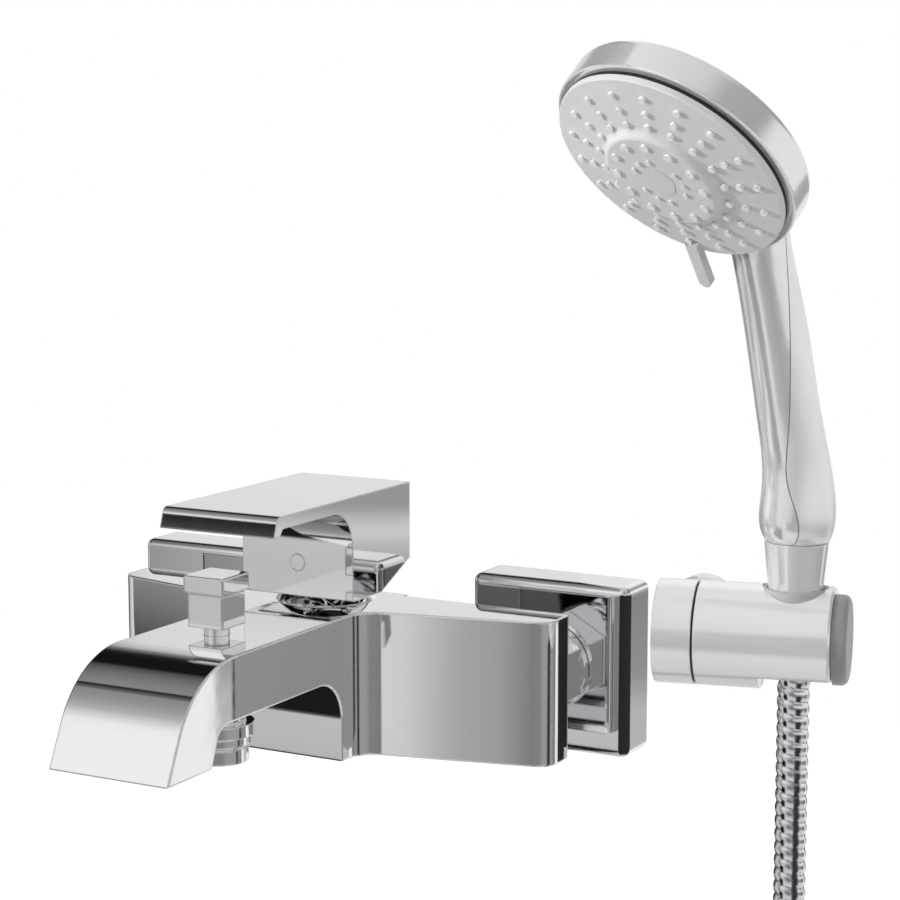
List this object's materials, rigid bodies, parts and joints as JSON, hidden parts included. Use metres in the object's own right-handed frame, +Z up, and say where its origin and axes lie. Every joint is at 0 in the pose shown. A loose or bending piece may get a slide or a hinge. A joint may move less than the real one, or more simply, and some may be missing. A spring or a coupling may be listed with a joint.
{
  "type": "shower mixer",
  "caption": "Wall-mounted single-lever bath and shower mixer with a flat square spout, lift diverter and hand shower on a tilting wall bracket with a ribbed hose.",
  "frame": {"origin": "midway between the two wall inlets, on the finished wall", "axes": "+X to the right along the wall, +Y into the wall along both inlets, +Z up"},
  "size_m": [0.3029, 0.2137, 0.466],
  "materials": {
    "chrome": "bright chrome plating on cast and turned brass",
    "bracket_chrome": "bright chrome plating",
    "shower_chrome": "bright chrome plating on moulded plastic",
    "shower_back": "pale chrome plating on moulded plastic",
    "face_grey": "satin silver-grey moulded plastic",
    "nozzle_rubber": "soft pale translucent silicone",
    "dark_seal": "matt black rubber",
    "cap_clear": "frosted grey moulded plastic",
    "liner_plastic": "dark grey moulded plastic",
    "brass": "turned brass",
    "steel": "plain stainless steel",
    "ceramic": "polished alumina ceramic",
    "white_plastic": "off-white moulded plastic",
    "rubber": "black rubber",
    "hose_metal": "chromed interlocked metal strip"
  },
  "bodies": {
    "fixed": {"bracket_arm": "bracket_chrome", "cartridge_base": "white_plastic", "cartridge_collar": "chrome", "cartridge_housing": "white_plastic", "cartridge_nut": "brass", "check_valve_left": "white_plastic", "check_valve_right": "white_plastic", "diverter_bonnet": "brass", "diverter_rod_seal": "rubber", "escutcheon_left": "chrome", "escutcheon_right": "chrome", "fixed_ceramic_disc": "ceramic", "flow_straightener": "white_plastic", "friction_washer": "dark_seal", "grub_screw": "steel", "mixer_body": "chrome", "pivot_bolt": "steel", "port_seal": "rubber", "shower_outlet": "chrome", "union_nut_left": "chrome", "union_nut_right": "chrome", "union_washer_left": "rubber", "union_washer_right": "rubber", "wall_disc": "steel", "wall_screw": "steel", "wall_union_left": "brass", "wall_union_right": "brass"},
    "lever_turn": {"spindle_carrier": "white_plastic"},
    "lever_arm": {"lever": "chrome", "lever_spindle": "steel", "lever_set_screw": "steel", "screw_cap": "chrome"},
    "ceramic_slide": {"moving_ceramic_disc": "ceramic"},
    "diverter": {"diverter_knob": "chrome", "diverter_rod": "chrome", "diverter_valve_disc": "brass", "diverter_seal": "rubber"},
    "holder": {"holder_barrel": "bracket_chrome", "holder_end_cap": "cap_clear", "cone_liner": "liner_plastic"},
    "hose_swivel": {"swivel_tail": "brass"},
    "hand_shower": {"cone_nut": "bracket_chrome", "hose_washer": "rubber", "handset_front": "shower_chrome", "handset_back": "shower_back", "handset_waterway": "white_plastic", "head_housing": "shower_chrome", "distributor": "white_plastic", "face_seal": "dark_seal", "face_screw": "steel"},
    "spray_plate": {"spray_face": "face_grey", "nozzle_mat": "nozzle_rubber", "centre_cap": "face_grey"},
    "hose_group": {"hose_ferrule": "brass", "hose": "hose_metal", "hose_coil": "hose_metal", "hose_tie": "liner_plastic", "hose_end_nut": "hose_metal", "hose_end_ferrule": "brass", "hose_end_washer": "rubber"}
  },
  "joints": [
    {"name": "lever_swing", "type": "hinge", "parent": "fixed", "child": "lever_turn", "pos_m": [0, -0.052, 0.01], "axis": [0, 0, 1], "range_deg": [-45, 45]},
    {"name": "lever_lift", "type": "hinge", "parent": "lever_turn", "child": "lever_arm", "pos_m": [0, -0.052, 0.01], "axis": [-1, 0, 0], "range_deg": [0, 22]},
    {"name": "disc_slide", "type": "slide", "parent": "lever_turn", "child": "ceramic_slide", "axis": [0, -1, 0], "range_m": [0, 0.0052]},
    {"name": "diverter_lift", "type": "slide", "parent": "fixed", "child": "diverter", "axis": [0, 0, 1], "range_m": [0, 0.007]},
    {"name": "holder_tilt", "type": "hinge", "parent": "fixed", "child": "holder", "pos_m": [0.1745, -0.03, 0.0235], "axis": [0.972, 0.2351, 0], "range_deg": [-15, 15]},
    {"name": "handset_lift", "type": "slide", "parent": "holder", "child": "hose_swivel", "axis": [0, 0, 1], "range_m": [0, 0.012]},
    {"name": "handset_spin", "type": "hinge", "parent": "hose_swivel", "child": "hand_shower", "pos_m": [0.1745, -0.03, 0.0235], "axis": [0, 0, 1], "range_deg": [-40, 75]},
    {"name": "spray_select", "type": "hinge", "parent": "hand_shower", "child": "spray_plate", "pos_m": [0.1517, -0.0913, 0.1833], "axis": [0.2413, 0.6487, 0.7218], "range_deg": [0, 72]},
    {"name": "hose_hang", "type": "hinge", "parent": "hose_swivel", "child": "hose_group", "pos_m": [0.1745, -0.03, 0.0235], "axis": [0.972, 0.2351, 0], "range_deg": [-16, 16]}
  ],
  "couplings": [
    {"joint": "disc_slide", "follows": "lever_lift", "m_per_rad": 0.0133},
    {"joint": "hose_hang", "follows": "holder_tilt", "ratio": -1}
  ]
}
